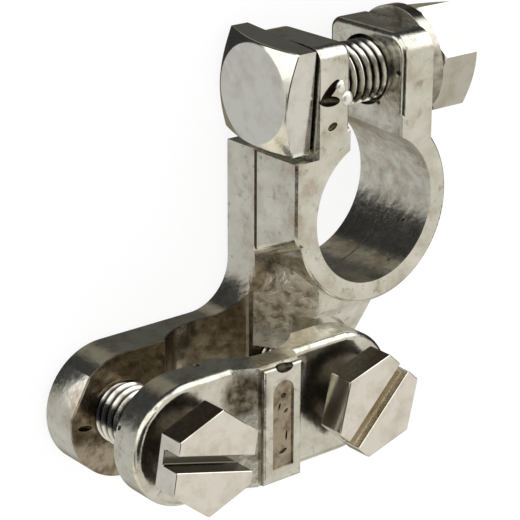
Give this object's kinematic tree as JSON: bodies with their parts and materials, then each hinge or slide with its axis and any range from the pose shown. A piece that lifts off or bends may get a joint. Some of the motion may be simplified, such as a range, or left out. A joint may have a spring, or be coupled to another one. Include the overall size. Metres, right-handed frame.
{
  "type": "battery terminal clamp",
  "caption": "Split ring clamp for a battery post, closed by a square-head bolt and hex nut, with a flat cable bed under a screwed arched bridge.",
  "frame": {"origin": "on the axis of the post ring, at the casting's flat underside", "axes": "+Z along the post ring's axis, towards the top of the post and the screw heads; +X along the clamp bolt from its square head to its nut; +Y from the ring towards the lugs"},
  "size_m": [0.0597, 0.0524, 0.0248],
  "materials": {
    "casting": "tin-plated, as cast, satin",
    "bridge": "tin-plated, as cast, satin",
    "bolt": "plated, worn bright",
    "nut": "plated, worn bright",
    "washer": "plated, worn dull",
    "screws": "plated, worn bright"
  },
  "bodies": {
    "casting": {"terminal_casting": "casting", "lock_washer": "washer"},
    "bolt": {"clamp_bolt": "bolt"},
    "nut": {"clamp_nut": "nut"},
    "bridge": {"cable_bridge": "bridge"},
    "left_screw": {"left_cable_screw": "screws"},
    "right_screw": {"right_cable_screw": "screws"}
  },
  "joints": [
    {"name": "bolt_slide", "type": "slide", "parent": "casting", "child": "bolt", "axis": [-1, 0, 0], "range_m": [0, 0.00375]},
    {"name": "nut_turn", "type": "hinge", "parent": "casting", "child": "nut", "pos_m": [0.0142, 0.01561, 0.0066], "axis": [1, 0, 0], "range_deg": [0, 1081]},
    {"name": "bridge_slide", "type": "slide", "parent": "casting", "child": "bridge", "axis": [0, 0, 1], "range_m": [-0.003, 0.003]},
    {"name": "left_screw_turn", "type": "hinge", "parent": "bridge", "child": "left_screw", "pos_m": [-0.03278, -0.02099, 0.022], "axis": [0, 0, 1], "range_deg": [-865, 865]},
    {"name": "right_screw_turn", "type": "hinge", "parent": "bridge", "child": "right_screw", "pos_m": [-0.00763, -0.02099, 0.022], "axis": [0, 0, 1], "range_deg": [-865, 865]}
  ],
  "couplings": [
    {"joint": "nut_turn", "follows": "bolt_slide", "rad_per_m": 5026.5},
    {"joint": "left_screw_turn", "follows": "bridge_slide", "rad_per_m": 5026.5},
    {"joint": "right_screw_turn", "follows": "bridge_slide", "rad_per_m": 5026.5}
  ]
}
